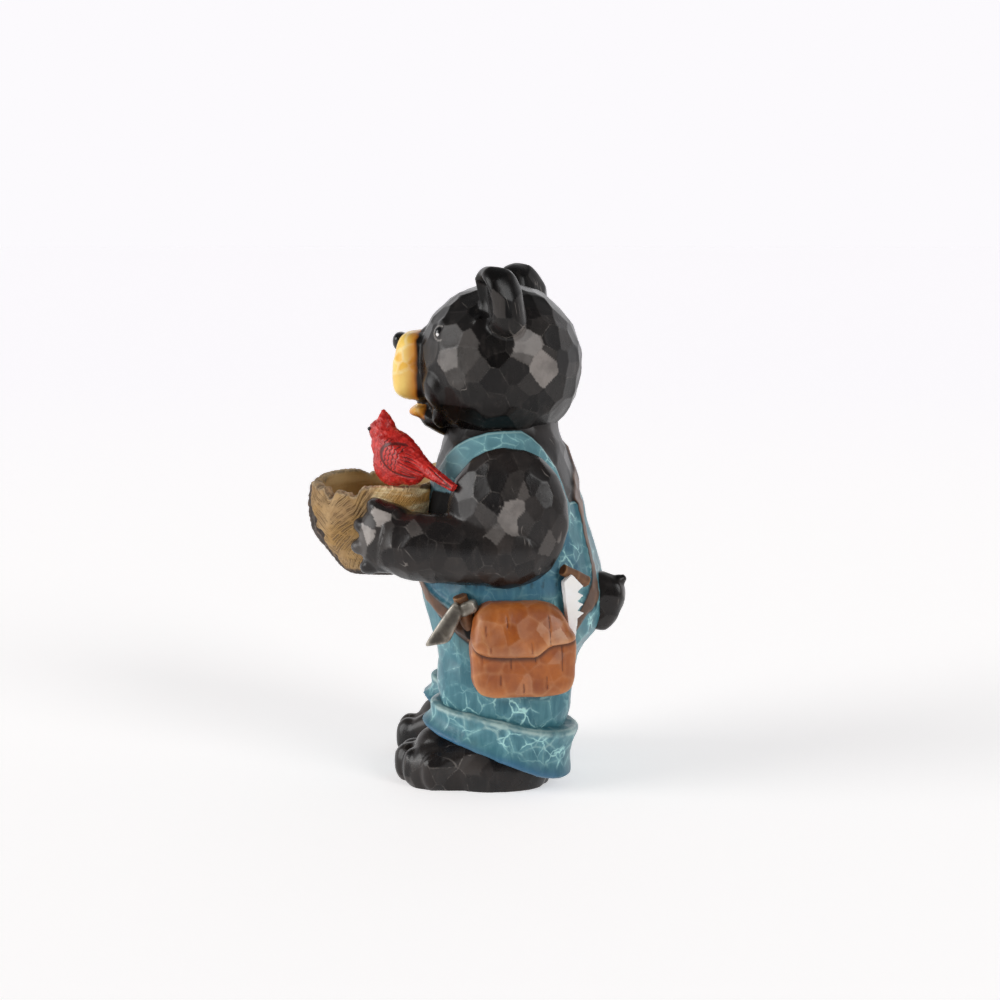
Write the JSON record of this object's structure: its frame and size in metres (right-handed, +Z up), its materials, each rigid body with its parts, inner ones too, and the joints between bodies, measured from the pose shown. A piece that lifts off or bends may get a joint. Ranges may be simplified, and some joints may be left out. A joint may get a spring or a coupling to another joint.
{
  "type": "bear bird bath statue",
  "caption": "Carved bear in overalls holds a hollow stump bowl for water or seed against its belly, a red songbird on the rim and a tool bag on its hip.",
  "frame": {"origin": "on the floor, under the middle of the whole statue's box", "axes": "+Z up, the bear faces -Y, the bear's left side is +X"},
  "size_m": [0.2681, 0.329, 0.5238],
  "materials": {
    "bear_black": "satin varnish over painted resin",
    "split_wood": "matt painted resin, washed with dark stain",
    "cardinal_red": "satin varnish over painted resin",
    "overalls_blue": "satin varnish over painted resin, veined with pale turquoise",
    "muzzle_yellow": "satin varnish over painted resin",
    "bag_brown": "satin varnish over painted resin, rubbed pale on its high spots",
    "tool_pewter": "pewter-coloured paint, rubbed bright on its edges",
    "saw_white": "matt painted resin",
    "eye_black": "glossy painted resin"
  },
  "bodies": {
    "root": {"bear": "bear_black", "stump_bowl": "split_wood", "cardinal": "cardinal_red"}
  },
  "joints": []
}
